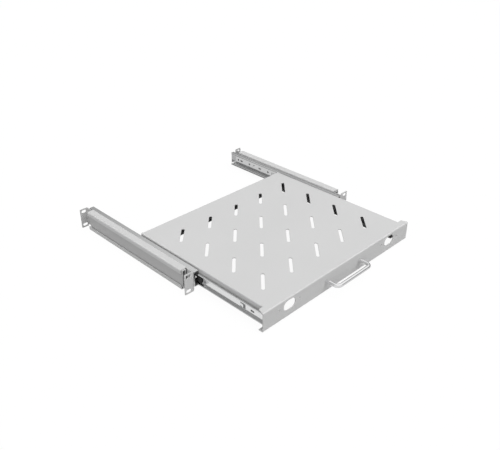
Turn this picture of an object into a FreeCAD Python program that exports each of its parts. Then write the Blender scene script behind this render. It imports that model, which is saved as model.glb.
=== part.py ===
import FreeCAD, Part
import math
import os

from FreeCAD import Vector

# Sliding rack shelf, one rack unit high, drawn partly pulled out.
# Frame: X to the right, Y into the rack, Z up, millimetres. The origin is the middle of the four
# front rack holes, on the front face of the front ears. Right-hand pieces are modelled, and the
# left-hand ones are their mirror images in the plane X = 0.

# Driving dimensions: rack interface
rack_hole_spacing_x = 465.1
rack_hole_spacing_z = 31.75
rack_slot_length = 12.0
rack_slot_width = 6.8
ear_edge = 8.75
ear_height = 44.0
ear_corner = 1.5

# Driving dimensions: sheet metal
tray_sheet = 1.5
bracket_sheet = 1.5
slide_sheet = 1.2
cage_sheet = 0.8
bend_inside = 1.0
slide_bend = 0.2
cage_bend = 0.5

# Driving dimensions: tray
pull_out = 176.6
tray_depth = 356.6
tray_inset = 28.25
tray_side_height = 31.0
return_lip = 23.0
panel_lip = 10.4
tab_depth = 14.4
tab_taper = 4.0
vent_columns = 5
vent_rows = 4
vent_margin_x = 53.1
vent_margin_y = 65.2
vent_length = 50.0
vent_width = 6.6
vent_angle = 45.0
cable_hole_z = 5.3
cable_hole_width = 30.5
cable_hole_height = 20.5
cover_hole_spacing = 52.0
cover_hole_diameter = 3.6
access_slot_length = 11.0
access_slot_width = 6.0

# Driving dimensions: handle
handle_spacing = 100.0
handle_reach = 31.5
handle_wire = 8.0
handle_bend = 9.0
handle_z = 4.5
handle_screw = 4.0
handle_screw_head = 8.0
handle_screw_head_height = 2.4
handle_screw_length = 10.0
handle_bore_depth = 10.0

# Driving dimensions: brackets and rear ears
bracket_flange_start = 0.6
bracket_overhang = 1.4
channel_height = 44.0
channel_middle_z = -0.2
channel_depth = 16.1
channel_lip = 9.0
channel_start = 20.0
channel_setback = 18.0
rear_ear_setback = 0.5
rear_box_front_overhang = 2.6
rear_box_rear_inset = 2.8

# Driving dimensions: ball slides
slide_z = 1.7
slide_height = 30.0
slide_depth = 9.5
slide_lip_straight = 0.3
slide_overlap = 85.4
inner_rear_setback = 10.6
inner_lip = 0.8
ball_diameter = 3.3
ball_pitch = 18.0
balls_per_row = 4
cage_length = 74.0
hole_pitch = 65.0
hole_end_margin = 20.0
round_hole_first = 28.1
round_hole_diameter = 5.0
slot_hole_first = 56.4
slot_hole_length = 9.0
slot_hole_width = 4.0
hook_cut_first = 79.4
hook_cut_size = 6.0
hook_cut_width = 1.2
last_hole_from_slot = 12.0
fixing_slot_from_panel = 35.0
tongue_from_panel = 58.5
tongue_window_length = 13.0
tongue_window_height = 9.2
tongue_length = 8.6
tongue_width = 6.4
tongue_rise = 1.2

# Driving dimensions: stops, end caps and release levers
stop_tab_height = 3.9
cap_front = 1.2
cap_setback = 0.35
cap_plug_length = 4.0
cap_plug_width = 4.0
lever_thickness = 2.8
lever_pivot_from_screw = 39.7
lever_front_reach = 36.0
lever_pad_length = 15.5
lever_pad_height = 12.0
lever_window_from_front = 15.0
lever_window_length = 5.0
lever_window_width = 3.6
lever_window_rise = 1.7
lever_arm_height = 6.0
lever_body_height = 11.0
lever_body_reach = 8.0
lever_pad_slope = 4.0
lever_body_slope = 5.0
lever_tail_slope = 13.0
lever_tail_height = 3.7
lever_hook_length = 4.0
lever_corner = 1.2
rivet_diameter = 3.0
rivet_head = 4.8
rivet_head_height = 0.75

# Driving dimensions: screws, nuts and spacers
screw_diameter = 4.0
screw_head = 7.4
bracket_screw_head_height = 0.9
bracket_screws = 3
nut_across_flats = 7.0
nut_sides = 6
bracket_nut_height = 2.2
tray_nut_height = 2.6
tray_screws = 3
tray_screw_front = 154.8
tray_screw_rear = 20.0
spacer_diameter = 12.0
spacer_thickness = 2.8

# Clearances
fit_clearance = 0.05
ball_clearance = 0.1
slide_clearance = 0.3
slide_seat_gap = 0.2
rear_box_side_gap = 1.2
cage_gap = 0.4
inner_gap = 0.6
nut_gap = 0.9
panel_gap = 0.5
tab_gap = 1.0
lip_gap = 2.9
rear_stop_gap = 2.4
lip_corner_gap = 2.0
cut_over = 1.0
same_point = 1e-6

# Directions
AXIS_X = Vector(1, 0, 0)
AXIS_Y = Vector(0, 1, 0)
AXIS_Z = Vector(0, 0, 1)

# Places across the shelf, from the tray outwards
tray_side_x = rack_hole_spacing_x / 2 - tray_inset
inner_back_x = tray_side_x + spacer_thickness
inner_face_x = inner_back_x + slide_sheet
outer_lip_x = inner_back_x + slide_clearance
bracket_inner_x = outer_lip_x + slide_depth
outer_web_x = bracket_inner_x - slide_sheet
cage_web_x = outer_web_x - bracket_screw_head_height - cage_gap
inner_edge_x = cage_web_x - cage_sheet - inner_gap
bracket_web_x = bracket_inner_x + bracket_sheet
bracket_flange_x = outer_lip_x + slide_seat_gap
channel_web_x = bracket_web_x + bracket_sheet
channel_outer_x = bracket_web_x + channel_depth
rear_plate_x = channel_web_x + bracket_nut_height + nut_gap + bracket_sheet
ear_outer_x = rack_hole_spacing_x / 2 + ear_edge
panel_half_width = bracket_web_x - slide_clearance
lever_back_x = inner_face_x + slide_clearance
lever_face_x = lever_back_x + lever_thickness
hook_x = cage_web_x - cage_sheet - slide_clearance
stop_tab_x = lever_face_x + slide_clearance

# Heights, from the middle of the slides
bracket_height = slide_height + 2 * (slide_seat_gap + bracket_sheet)
tray_top = slide_z + bracket_height / 2 + tab_gap + tray_sheet
tray_lip_z = tray_top - tray_side_height
panel_bottom = slide_z - bracket_height / 2 - lip_gap - tray_sheet
raceway_top = slide_height / 2 - slide_sheet
cup_radius = ball_diameter / 2 + ball_clearance
ball_height = raceway_top - cup_radius
ball_x = outer_lip_x + slide_sheet + cup_radius
inner_height = 2 * (raceway_top - ball_diameter - 2 * ball_clearance)
stop_tab_bottom = slide_z + rivet_head / 2 + slide_clearance
stop_tab_top = stop_tab_bottom + stop_tab_height

# Places along the shelf, from its front panel to the rear ears
panel_y = -pull_out
panel_back_y = panel_y + tray_sheet
tray_rear_y = panel_y + tray_depth
inner_start = panel_back_y + panel_gap
inner_end = tray_rear_y - inner_rear_setback
inner_length = inner_end - inner_start
outer_start = cap_setback + cap_front + fit_clearance
outer_end = inner_length + rear_stop_gap + slide_sheet
outer_length = outer_end - outer_start
bracket_end = outer_end + bracket_overhang
channel_end = bracket_end - channel_setback
rear_ear_y = bracket_end - rear_ear_setback
rear_box_start = channel_start - rear_box_front_overhang
rear_box_end = channel_end - rear_box_rear_inset
cage_middle = (outer_start + inner_end) / 2
slide_travel = inner_length - slide_overlap
hook_y = inner_start + outer_start + slide_sheet + slide_clearance + slide_travel

# Repeated places
vent_pitch_x = 2 * (tray_side_x - vent_margin_x) / (vent_columns - 1)
vent_pitch_y = (tray_depth - 2 * vent_margin_y) / (vent_rows - 1)
cable_hole_x = tray_side_x - vent_margin_x
hole_repeats = int((outer_length - slot_hole_first - hole_end_margin) / hole_pitch) + 1
round_hole_ys = [outer_start + round_hole_first + hole_pitch * i for i in range(hole_repeats)]
slot_hole_ys = [outer_start + slot_hole_first + hole_pitch * i for i in range(hole_repeats)]
hook_cut_ys = [outer_start + hook_cut_first + hole_pitch * i for i in range(hole_repeats - 1)]
bracket_screw_ys = round_hole_ys[:bracket_screws]
open_hole_ys = round_hole_ys[bracket_screws:] + [slot_hole_ys[-1] + last_hole_from_slot]
tray_screw_pitch = (inner_length - tray_screw_front - tray_screw_rear) / (tray_screws - 1)
tray_screw_ys = [inner_start + tray_screw_front + tray_screw_pitch * i for i in range(tray_screws)]
lever_pivot_y = tray_screw_ys[-2] - lever_pivot_from_screw


def box(x0, x1, y0, y1, z0, z1):
    """A box between two corners."""
    return Part.makeBox(x1 - x0, y1 - y0, z1 - z0, Vector(x0, y0, z0))


def cylinder(diameter, start, end):
    """A round bar from one point to another."""
    along = end - start
    return Part.makeCylinder(diameter / 2, along.Length, start, along)


def rounded_path(points, radii):
    """Edges along an open path with its corners rounded."""
    edges = []
    start = points[0]
    for before, corner, after, radius in zip(points, points[1:], points[2:], radii):
        along_in = (corner - before).normalize()
        along_out = (after - corner).normalize()
        half_turn = along_in.getAngle(along_out) / 2
        reach = radius * math.tan(half_turn)
        towards = (along_out - along_in).normalize()
        middle = corner + towards * (radius / math.cos(half_turn) - radius)
        begin = corner - along_in * reach
        end = corner + along_out * reach
        if start.distanceToPoint(begin) > same_point:
            edges.append(Part.makeLine(start, begin))
        edges.append(Part.Arc(begin, middle, end).toShape())
        start = end
    if start.distanceToPoint(points[-1]) > same_point:
        edges.append(Part.makeLine(start, points[-1]))
    return edges


def bent_sheet(points, thickness, inside_radius, along):
    """A folded sheet: the middle line of its section, pushed along a straight way."""
    axis = Vector(along).normalize()
    ways = [(after - before).normalize() for before, after in zip(points, points[1:])]
    sides = [axis.cross(way) for way in ways]
    shifts = [sides[0]]
    for one, two in zip(sides, sides[1:]):
        shifts.append((one + two) * (1 / (1 + one.dot(two))))
    shifts.append(sides[-1])
    turns_left = [one.cross(two).dot(axis) > 0 for one, two in zip(ways, ways[1:])]
    left = [point + shift * (thickness / 2) for point, shift in zip(points, shifts)]
    right = [point - shift * (thickness / 2) for point, shift in zip(points, shifts)]
    left_radii = [inside_radius + (0 if turn else thickness) for turn in turns_left]
    right_radii = [inside_radius + (thickness if turn else 0) for turn in turns_left]
    outline = rounded_path(left, left_radii)
    outline.append(Part.makeLine(left[-1], right[-1]))
    outline += rounded_path(right[::-1], right_radii[::-1])
    outline.append(Part.makeLine(right[0], left[0]))
    return Part.Face(Part.Wire(outline)).extrude(along)


def obround(middle, length, width, thickness, along, across):
    """A slot-shaped cutter with round ends, through a sheet of the given thickness."""
    half = Vector(along).normalize() * ((length - width) / 2)
    through = Vector(across).normalize() * (thickness + 2 * cut_over)
    start = middle - through * 0.5
    side = Vector(across).cross(half).normalize() * (width / 2)
    outer = Vector(half).normalize() * (width / 2)
    corners = [start - half + side, start + half + side, start + half - side, start - half - side]
    edges = [
        Part.makeLine(corners[0], corners[1]),
        Part.Arc(corners[1], start + half + outer, corners[2]).toShape(),
        Part.makeLine(corners[2], corners[3]),
        Part.Arc(corners[3], start - half - outer, corners[0]).toShape(),
    ]
    return Part.Face(Part.Wire(edges)).extrude(through)


def bars_across(diameter, places, x0, x1):
    """Round bars along X at the height of the slides, one at each place along Y."""
    return [cylinder(diameter, Vector(x0, y, slide_z), Vector(x1, y, slide_z)) for y in places]


def clean(shape):
    """Merge the faces that a fold or a union has split."""
    return shape.removeSplitter()


def ear(inner_x, front_y):
    """A rack ear: an upright plate with rounded corners and two slotted holes."""
    half = ear_height / 2
    plate = box(inner_x, ear_outer_x, front_y, front_y + bracket_sheet, -half, half)
    corners = [
        edge for edge in plate.Edges
        if edge.Length < 2 * bracket_sheet and edge.CenterOfMass.x > ear_outer_x - ear_corner
    ]
    plate = plate.makeFillet(ear_corner, corners)
    for height in (-rack_hole_spacing_z / 2, rack_hole_spacing_z / 2):
        middle = Vector(rack_hole_spacing_x / 2, front_y + bracket_sheet / 2, height)
        plate = plate.cut(obround(middle, rack_slot_length, rack_slot_width, bracket_sheet, AXIS_X, AXIS_Y))
    return plate


# Tray: top plate, side and rear folds with lips turned in under them, front panel with its lip and tabs
def make_tray():
    middle_top = tray_top - tray_sheet / 2
    lip_middle = tray_lip_z + tray_sheet / 2
    side_middle = tray_side_x - tray_sheet / 2
    side_lip_x = tray_side_x - return_lip
    tab_rear_y = panel_y + tab_depth
    fold = tray_sheet + bend_inside
    plate = bent_sheet(
        [
            Vector(-side_lip_x, tab_rear_y, lip_middle),
            Vector(-side_middle, tab_rear_y, lip_middle),
            Vector(-side_middle, tab_rear_y, middle_top),
            Vector(side_middle, tab_rear_y, middle_top),
            Vector(side_middle, tab_rear_y, lip_middle),
            Vector(side_lip_x, tab_rear_y, lip_middle),
        ],
        tray_sheet, bend_inside, Vector(0, tray_depth - tab_depth, 0))
    panel_middle = panel_y + tray_sheet / 2
    panel = bent_sheet(
        [
            Vector(-panel_half_width, tab_rear_y, middle_top),
            Vector(-panel_half_width, panel_middle, middle_top),
            Vector(-panel_half_width, panel_middle, panel_bottom + tray_sheet / 2),
            Vector(-panel_half_width, panel_y + panel_lip, panel_bottom + tray_sheet / 2),
        ],
        tray_sheet, bend_inside, Vector(2 * panel_half_width, 0, 0))
    rear_inset = tray_side_x - tray_sheet - fold
    rear_middle = tray_rear_y - tray_sheet / 2
    rear = bent_sheet(
        [
            Vector(-rear_inset, tray_rear_y - 2 * fold, middle_top),
            Vector(-rear_inset, rear_middle, middle_top),
            Vector(-rear_inset, rear_middle, lip_middle),
            Vector(-rear_inset, tray_rear_y - return_lip, lip_middle),
        ],
        tray_sheet, bend_inside, Vector(2 * rear_inset, 0, 0))
    plate = plate.cut(box(-rear_inset, rear_inset, tray_rear_y - fold, tray_rear_y + cut_over,
                          tray_top - tray_sheet - cut_over, tray_top + cut_over))
    tray = plate.cut(side_lip_ends(fold)).fuse([panel, rear.cut(rear_lip_ends(fold, rear_inset))])
    return clean(tray.cut(corner_tapers() + vents() + panel_holes() + side_holes()))


def sheet_cutter(corners, sheet_top):
    """A flat-sided cutter through a level sheet of the tray, given its corners seen from above."""
    points = [Vector(x, y, sheet_top + cut_over) for x, y in corners + corners[:1]]
    return Part.Face(Part.makePolygon(points)).extrude(AXIS_Z * -(tray_sheet + 2 * cut_over))


def corner_tapers():
    """The slanted ends of the two tabs behind the panel's upper corners."""
    start = panel_y + tray_sheet + bend_inside
    stop = panel_y + tab_depth
    tapers = []
    for way in (-1, 1):
        tip = way * panel_half_width
        tapers.append(sheet_cutter([(tip, start), (tip, stop), (tip - way * tab_taper, stop)], tray_top))
    return tapers


def side_lip_ends(fold):
    """Cutters that mitre the side lips at the tray's rear corners."""
    reach = return_lip - fold + cut_over
    behind = tray_rear_y + cut_over
    cutters = []
    for way in (-1, 1):
        outer = way * (tray_side_x - fold)
        inner = outer - way * reach
        corners = [(outer, behind), (outer, tray_rear_y), (inner, tray_rear_y - reach), (inner, behind)]
        cutters.append(sheet_cutter(corners, tray_lip_z + tray_sheet))
    return cutters


def rear_lip_ends(fold, rear_inset):
    """Cutters that mitre the rear lip, so that it stays clear of the side lips."""
    reach = return_lip - fold + cut_over
    start = tray_rear_y - fold
    cutters = []
    for way in (-1, 1):
        outer = way * (rear_inset + cut_over)
        near = way * (tray_side_x - 2 * fold - lip_corner_gap)
        corners = [(outer, start), (near, start), (near - way * reach, start - reach), (outer, start - reach)]
        cutters.append(sheet_cutter(corners, tray_lip_z + tray_sheet))
    return cutters


def vents():
    """Slanted air slots in rows and columns over the tray's top."""
    slant = math.radians(vent_angle)
    way = Vector(math.cos(slant), math.sin(slant), 0)
    slots = []
    for column in range(vent_columns):
        for row in range(vent_rows):
            x = vent_margin_x - tray_side_x + column * vent_pitch_x
            y = panel_y + vent_margin_y + row * vent_pitch_y
            middle = Vector(x, y, tray_top - tray_sheet / 2)
            slots.append(obround(middle, vent_length, vent_width, tray_sheet, way, AXIS_Z))
    return slots


def panel_holes():
    """Cable holes, the small holes beside them, and the handle's screw holes."""
    front = panel_y - cut_over
    back = panel_back_y + cut_over
    holes = []
    for way in (-1, 1):
        middle = Vector(way * cable_hole_x, panel_y + tray_sheet / 2, cable_hole_z)
        holes.append(obround(middle, cable_hole_width, cable_hole_height, tray_sheet, AXIS_X, AXIS_Y))
        for side in (-1, 1):
            x = way * cable_hole_x + side * cover_hole_spacing / 2
            holes.append(cylinder(cover_hole_diameter, Vector(x, front, cable_hole_z),
                                  Vector(x, back, cable_hole_z)))
        foot = way * handle_spacing / 2
        holes.append(cylinder(handle_screw + 2 * fit_clearance, Vector(foot, front, handle_z),
                              Vector(foot, back, handle_z)))
    return holes


def side_holes():
    """Holes in the tray's sides for the slides' screws, and a slot to reach the slide's own slot."""
    holes = []
    for way in (-1, 1):
        outside = way * (tray_side_x + cut_over)
        inside = way * (tray_side_x - tray_sheet - cut_over)
        holes += bars_across(screw_diameter + 2 * fit_clearance, tray_screw_ys, inside, outside)
        middle = Vector(way * (tray_side_x - tray_sheet / 2), panel_y + fixing_slot_from_panel, slide_z)
        holes.append(obround(middle, access_slot_length, access_slot_width, tray_sheet, AXIS_Y, AXIS_X))
    return holes


# Handle: a round wire bow, tapped at both feet and screwed on from behind the panel
def make_handle():
    foot = handle_spacing / 2
    bar_y = panel_y - handle_reach + handle_wire / 2
    route = rounded_path(
        [
            Vector(-foot, panel_y, handle_z),
            Vector(-foot, bar_y, handle_z),
            Vector(foot, bar_y, handle_z),
            Vector(foot, panel_y, handle_z),
        ],
        [handle_bend, handle_bend])
    section = Part.Wire(Part.makeCircle(handle_wire / 2, Vector(-foot, panel_y, handle_z), AXIS_Y))
    bow = Part.Wire(route).makePipeShell([section], True, True)
    for way in (-1, 1):
        mouth = Vector(way * foot, panel_y, handle_z)
        bow = bow.cut(cylinder(handle_screw + 2 * fit_clearance, mouth, mouth - AXIS_Y * handle_bore_depth))
    return bow


def make_handle_screws():
    screws = []
    for way in (-1, 1):
        seat = Vector(way * handle_spacing / 2, panel_back_y, handle_z)
        head = cylinder(handle_screw_head, seat, seat + AXIS_Y * handle_screw_head_height)
        shank = cylinder(handle_screw, seat, seat - AXIS_Y * handle_screw_length)
        screws.append(clean(head.fuse(shank)))
    return Part.makeCompound(screws)


# Bracket: a channel open towards the tray, which the outer slide member lies in
def make_bracket():
    web_middle = bracket_web_x - bracket_sheet / 2
    flange = (bracket_height - bracket_sheet) / 2
    bracket = bent_sheet(
        [
            Vector(bracket_flange_x, bracket_flange_start, slide_z + flange),
            Vector(web_middle, bracket_flange_start, slide_z + flange),
            Vector(web_middle, bracket_flange_start, slide_z - flange),
            Vector(bracket_flange_x, bracket_flange_start, slide_z - flange),
        ],
        bracket_sheet, bend_inside, Vector(0, bracket_end - bracket_flange_start, 0))
    near = bracket_inner_x - cut_over
    far = bracket_web_x + cut_over
    holes = bars_across(round_hole_diameter, open_hole_ys, near, far)
    holes += bars_across(screw_diameter + 2 * fit_clearance, bracket_screw_ys, near, far)
    for y in slot_hole_ys:
        middle = Vector(web_middle, y, slide_z)
        holes.append(obround(middle, slot_hole_length, slot_hole_width, bracket_sheet, AXIS_Y, AXIS_X))
    return clean(bracket.cut(holes))


# Outer channel: a lipped channel on the back of the bracket, open outwards, the guide of the rear ear.
# Its web runs on past the flanges and is bent outwards into the front ear.
def make_outer_channel():
    half = channel_height / 2
    fold = bracket_sheet + bend_inside
    top = channel_middle_z + half - bracket_sheet / 2
    bottom = channel_middle_z - half + bracket_sheet / 2
    web_middle = bracket_web_x + bracket_sheet / 2
    lip_middle = channel_outer_x - bracket_sheet / 2
    channel = bent_sheet(
        [
            Vector(lip_middle, channel_start, channel_middle_z + half - channel_lip),
            Vector(lip_middle, channel_start, top),
            Vector(web_middle, channel_start, top),
            Vector(web_middle, channel_start, bottom),
            Vector(lip_middle, channel_start, bottom),
            Vector(lip_middle, channel_start, channel_middle_z - half + channel_lip),
        ],
        bracket_sheet, bend_inside, Vector(0, channel_end - channel_start, 0))
    ear_middle = bracket_sheet / 2
    neck_bottom = channel_middle_z - half + fold
    neck = bent_sheet(
        [
            Vector(web_middle, channel_start + fold, neck_bottom),
            Vector(web_middle, ear_middle, neck_bottom),
            Vector(channel_web_x + fold, ear_middle, neck_bottom),
        ],
        bracket_sheet, bend_inside, Vector(0, 0, channel_height - 2 * fold))
    holes = bars_across(screw_diameter + 2 * fit_clearance, bracket_screw_ys,
                        bracket_web_x - cut_over, channel_web_x + cut_over)
    return clean(channel.fuse([neck, ear(channel_web_x + bend_inside, 0)]).cut(holes))


# Rear ear: a box section that slides in the outer channel, behind its lips. The inner wall of the
# box runs on past its end and is bent outwards into the rear rack ear.
def make_rear_ear():
    half = channel_height / 2 - bracket_sheet - slide_clearance
    top = channel_middle_z + half - bracket_sheet / 2
    bottom = channel_middle_z - half + bracket_sheet / 2
    outer_middle = channel_outer_x - bracket_sheet - rear_box_side_gap - bracket_sheet / 2
    wall_x = rear_plate_x - bracket_sheet
    wall_middle = rear_plate_x - bracket_sheet / 2
    shell = bent_sheet(
        [
            Vector(wall_x, rear_box_start, top),
            Vector(outer_middle, rear_box_start, top),
            Vector(outer_middle, rear_box_start, bottom),
            Vector(wall_x, rear_box_start, bottom),
        ],
        bracket_sheet, bend_inside, Vector(0, rear_box_end - rear_box_start, 0))
    neck_start = channel_end + slide_clearance
    wall_bottom = channel_middle_z - half + bracket_sheet
    wall = box(wall_x, rear_plate_x, rear_box_start, neck_start,
               wall_bottom, channel_middle_z + half - bracket_sheet)
    ear_middle = rear_ear_y + bracket_sheet / 2
    neck = bent_sheet(
        [
            Vector(wall_middle, neck_start, wall_bottom),
            Vector(wall_middle, ear_middle, wall_bottom),
            Vector(rear_plate_x + bracket_sheet + bend_inside, ear_middle, wall_bottom),
        ],
        bracket_sheet, bend_inside, Vector(0, 0, ear_height / 2 - wall_bottom))
    return clean(shell.fuse([wall, neck, ear(rear_plate_x + bend_inside, rear_ear_y)]))


# Outer slide member: a rolled channel whose curled lips cup the balls, with its holes and its two stops
def make_slide_outer():
    half = slide_height / 2
    edge = half - slide_sheet / 2
    web_middle = bracket_inner_x - slide_sheet / 2
    lip_middle = outer_lip_x + slide_sheet / 2
    lip_end = ball_height - slide_lip_straight
    member = bent_sheet(
        [
            Vector(lip_middle, outer_start, slide_z + lip_end),
            Vector(lip_middle, outer_start, slide_z + edge),
            Vector(web_middle, outer_start, slide_z + edge),
            Vector(web_middle, outer_start, slide_z - edge),
            Vector(lip_middle, outer_start, slide_z - edge),
            Vector(lip_middle, outer_start, slide_z - lip_end),
        ],
        slide_sheet, cup_radius, Vector(0, outer_length, 0))
    front_stop = box(stop_tab_x, web_middle, outer_start, outer_start + slide_sheet,
                     stop_tab_bottom, stop_tab_top)
    rear_half = inner_height / 2 - slide_clearance
    rear_stop = box(lip_middle, web_middle, outer_end - slide_sheet, outer_end,
                    slide_z - rear_half, slide_z + rear_half)
    member = member.fuse([front_stop, rear_stop])
    near = outer_web_x - cut_over / 2
    far = bracket_inner_x + cut_over
    holes = bars_across(round_hole_diameter, open_hole_ys, near, far)
    holes += bars_across(screw_diameter + 2 * fit_clearance, bracket_screw_ys, near, far)
    for y in slot_hole_ys:
        middle = Vector(web_middle, y, slide_z)
        holes.append(obround(middle, slot_hole_length, slot_hole_width, slide_sheet, AXIS_Y, AXIS_X))
    hook_bottom = slide_z - hook_cut_size / 2
    hook_top = slide_z + hook_cut_size / 2
    for y in hook_cut_ys:
        holes.append(box(near, far, y, y + hook_cut_width, hook_bottom, hook_top))
        holes.append(box(near, far, y - hook_cut_size, y + hook_cut_width,
                         hook_top - hook_cut_width, hook_top))
    return clean(member.cut(holes))


# Inner slide member: a channel open towards the outer member, on spacers beside the tray
def make_slide_inner():
    half = inner_height / 2
    edge = half - slide_sheet / 2
    web_middle = inner_face_x - slide_sheet / 2
    lip_middle = inner_edge_x - slide_sheet / 2
    lip_end = half + inner_lip
    member = bent_sheet(
        [
            Vector(lip_middle, inner_start, slide_z + lip_end),
            Vector(lip_middle, inner_start, slide_z + edge),
            Vector(web_middle, inner_start, slide_z + edge),
            Vector(web_middle, inner_start, slide_z - edge),
            Vector(lip_middle, inner_start, slide_z - edge),
            Vector(lip_middle, inner_start, slide_z - lip_end),
        ],
        slide_sheet, slide_bend, Vector(0, inner_length, 0))
    near = inner_back_x - cut_over
    far = inner_face_x + cut_over
    holes = [flat_screw(y, fit_clearance, slide_sheet + cut_over) for y in tray_screw_ys]
    holes += bars_across(rivet_diameter + 2 * fit_clearance, [lever_pivot_y], near, far)
    middle = Vector(web_middle, panel_y + fixing_slot_from_panel, slide_z)
    holes.append(obround(middle, slot_hole_length, slot_hole_width, slide_sheet, AXIS_Y, AXIS_X))
    window_y = panel_y + tongue_from_panel
    window_rear = window_y + tongue_window_length / 2
    holes.append(box(near, far, window_y - tongue_window_length / 2, window_rear,
                     slide_z - tongue_window_height / 2, slide_z + tongue_window_height / 2))
    tongue_bottom = slide_z - tongue_width / 2
    tongue = bent_sheet(
        [
            Vector(web_middle, window_rear + slide_sheet, tongue_bottom),
            Vector(web_middle, window_rear, tongue_bottom),
            Vector(web_middle + tongue_rise, window_rear - tongue_length, tongue_bottom),
        ],
        slide_sheet, slide_bend, Vector(0, 0, tongue_width))
    return clean(member.cut(holes).fuse(tongue))


def flat_screw(y, play, length):
    """A flat-headed screw from the inner member's face, or its hole when it is given some play."""
    mouth = Vector(inner_face_x, y, slide_z)
    cone = Part.makeCone(screw_head / 2 + play, screw_diameter / 2 + play, slide_sheet, mouth, -AXIS_X)
    return cone.fuse(cylinder(screw_diameter + 2 * play, mouth, mouth - AXIS_X * length))


def make_tray_screws():
    length = inner_face_x - tray_side_x + tray_sheet + tray_nut_height
    return Part.makeCompound([clean(flat_screw(y, 0, length)) for y in tray_screw_ys])


def make_slide_spacers():
    spacers = []
    for y in tray_screw_ys:
        ring = bars_across(spacer_diameter, [y], tray_side_x, inner_back_x)[0]
        bore = bars_across(screw_diameter + 2 * fit_clearance, [y], tray_side_x, inner_back_x)
        spacers.append(ring.cut(bore))
    return Part.makeCompound(spacers)


def hexagon_nut(y, x0, x1):
    """A hexagon nut on a screw along X."""
    corner = nut_across_flats / 2 / math.cos(math.pi / nut_sides)
    points = []
    for side in range(nut_sides + 1):
        turn = 2 * math.pi * side / nut_sides
        points.append(Vector(x0, y + corner * math.cos(turn), slide_z + corner * math.sin(turn)))
    body = Part.Face(Part.makePolygon(points)).extrude(Vector(x1 - x0, 0, 0))
    return body.cut(bars_across(screw_diameter + 2 * fit_clearance, [y], x0, x1))


def make_tray_nuts():
    seat = tray_side_x - tray_sheet
    return Part.makeCompound([hexagon_nut(y, seat - tray_nut_height, seat) for y in tray_screw_ys])


# Bracket screws hold the slide, the bracket and the outer channel together; nuts in the channel
def make_bracket_screws():
    tip_x = channel_web_x + bracket_nut_height
    screws = []
    for y in bracket_screw_ys:
        head = bars_across(screw_head, [y], outer_web_x - bracket_screw_head_height, outer_web_x)[0]
        shank = bars_across(screw_diameter, [y], outer_web_x, tip_x)[0]
        screws.append(clean(head.fuse(shank)))
    return Part.makeCompound(screws)


def make_bracket_nuts():
    far = channel_web_x + bracket_nut_height
    return Part.makeCompound([hexagon_nut(y, channel_web_x, far) for y in bracket_screw_ys])


# Ball cage: a thin channel between the two members, with a hole for each ball
def ball_centres():
    centres = []
    for way in (-1, 1):
        for i in range(balls_per_row):
            y = cage_middle + (i - (balls_per_row - 1) / 2) * ball_pitch
            centres.append(Vector(ball_x, y, slide_z + way * ball_height))
    return centres


def make_cage():
    flange_edge = outer_lip_x + slide_sheet + slide_clearance
    web_middle = cage_web_x - cage_sheet / 2
    start = cage_middle - cage_length / 2
    cage = bent_sheet(
        [
            Vector(flange_edge, start, slide_z + ball_height),
            Vector(web_middle, start, slide_z + ball_height),
            Vector(web_middle, start, slide_z - ball_height),
            Vector(flange_edge, start, slide_z - ball_height),
        ],
        cage_sheet, cage_bend, Vector(0, cage_length, 0))
    openings = []
    for centre in ball_centres():
        low = centre - AXIS_Z * cage_sheet
        high = centre + AXIS_Z * cage_sheet
        openings.append(cylinder(ball_diameter + 2 * fit_clearance, low, high))
    middle = Vector(web_middle, cage_middle, slide_z)
    window = cage_length - inner_height
    openings.append(obround(middle, window, inner_height / 2, cage_sheet, AXIS_Y, AXIS_X))
    return clean(cage.cut(openings))


def make_balls():
    return Part.makeCompound([Part.makeSphere(ball_diameter / 2, centre) for centre in ball_centres()])


# End cap: a moulded frame over the front end of the outer member, open for the inner member and the lever
def make_end_cap():
    half = slide_height / 2
    front = cap_setback
    back = cap_setback + cap_front
    window = inner_height / 2 + inner_lip + slide_clearance
    edge = inner_edge_x + slide_clearance
    cap = box(outer_lip_x, bracket_inner_x - fit_clearance, front, back, slide_z - half, slide_z + half)
    corners = [edge for edge in cap.Edges if edge.Length < 2 * cap_front]
    cap = cap.makeFillet(cup_radius + slide_sheet, corners)
    cap = cap.cut([
        box(outer_lip_x - cut_over, edge, front - cut_over, back + cut_over,
            slide_z - window, slide_z + window),
        box(edge - cut_over, outer_web_x, front - cut_over, back + cut_over,
            stop_tab_bottom - slide_clearance, stop_tab_top + slide_clearance),
    ])
    plug_start = ball_x + fit_clearance
    plugs = []
    for way in (-1, 1):
        inner_z = slide_z + way * window
        outer_z = slide_z + way * (raceway_top - slide_clearance)
        plugs.append(box(plug_start, plug_start + cap_plug_width, back, back + cap_plug_length,
                         min(inner_z, outer_z), max(inner_z, outer_z)))
    return clean(cap.fuse(plugs))


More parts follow.
